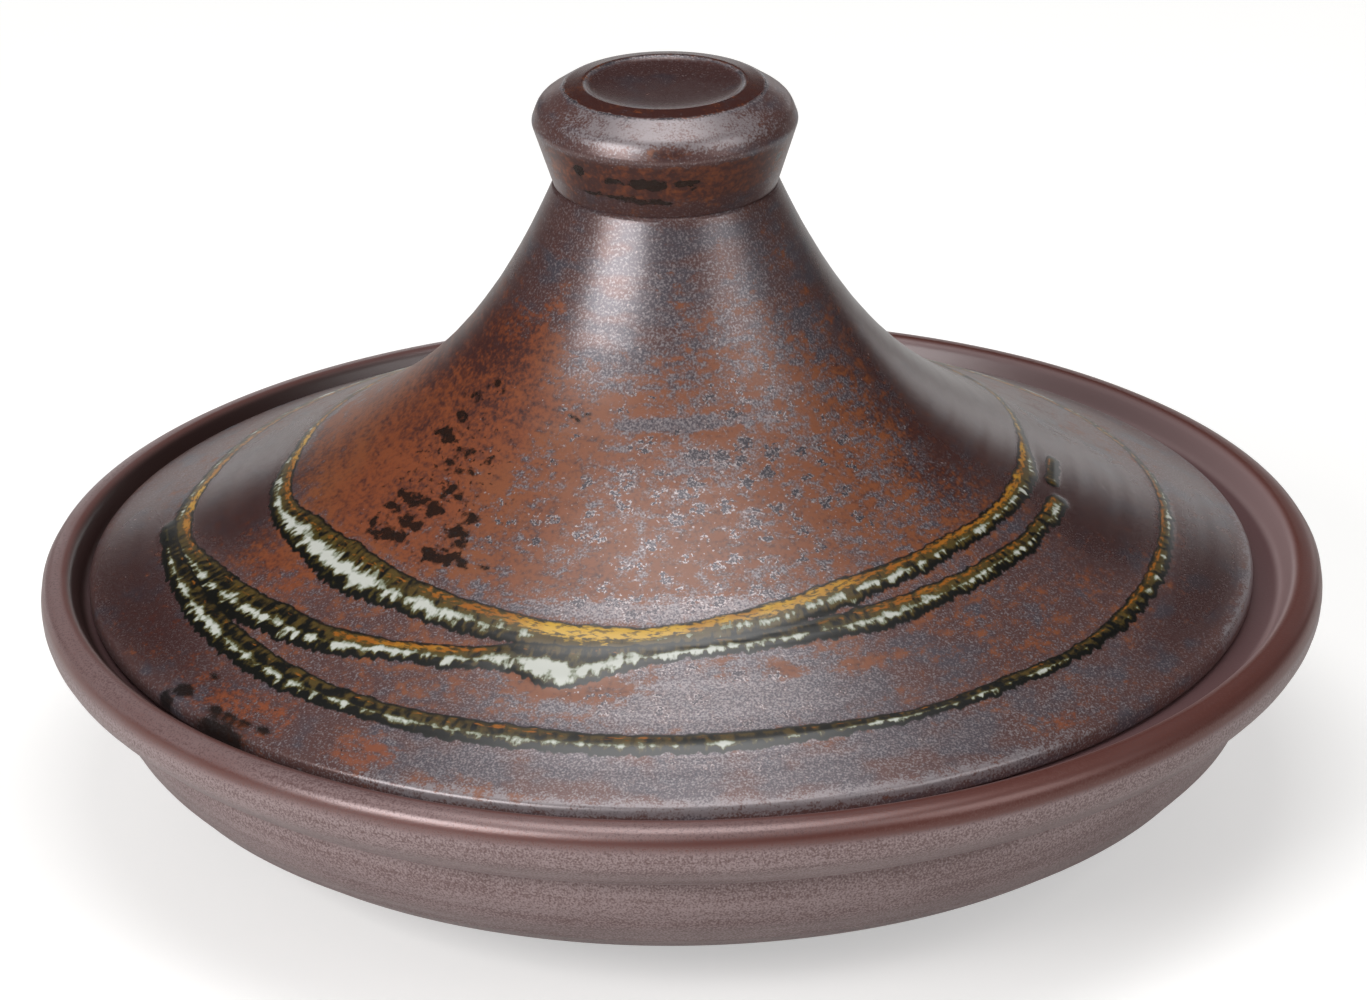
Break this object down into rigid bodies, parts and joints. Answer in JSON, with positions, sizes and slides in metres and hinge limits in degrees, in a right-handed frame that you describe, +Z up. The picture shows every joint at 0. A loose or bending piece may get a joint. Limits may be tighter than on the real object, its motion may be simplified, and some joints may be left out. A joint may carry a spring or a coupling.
{
  "type": "tagine",
  "caption": "Round stoneware tagine: shallow dish with a collared rim and gallery, and a loose bell-shaped lid with a flared dished knob, iron-glazed with trailed glaze lines.",
  "frame": {"origin": "centre of the foot, on the surface that the dish stands on", "axes": "+Z up along the axis of the dish, which is also the way the lid lifts; -Y towards the viewer of the picture, +X to the viewer's right"},
  "size_m": [0.3, 0.3, 0.1735],
  "materials": {
    "dish_glaze": "satin iron-brown glaze, bare clay foot",
    "lid_glaze": "mottled rust and grey-purple iron glaze with trailed white, amber and black lines",
    "knob_glaze": "silvery grey iron glaze with a rust band"
  },
  "bodies": {
    "dish": {"dish": "dish_glaze"},
    "lid": {"lid": "lid_glaze", "lid_knob": "knob_glaze"}
  },
  "joints": [
    {"name": "lid_lift", "type": "slide", "parent": "dish", "child": "lid", "axis": [0, 0, 1], "range_m": [0, 0.2]}
  ]
}
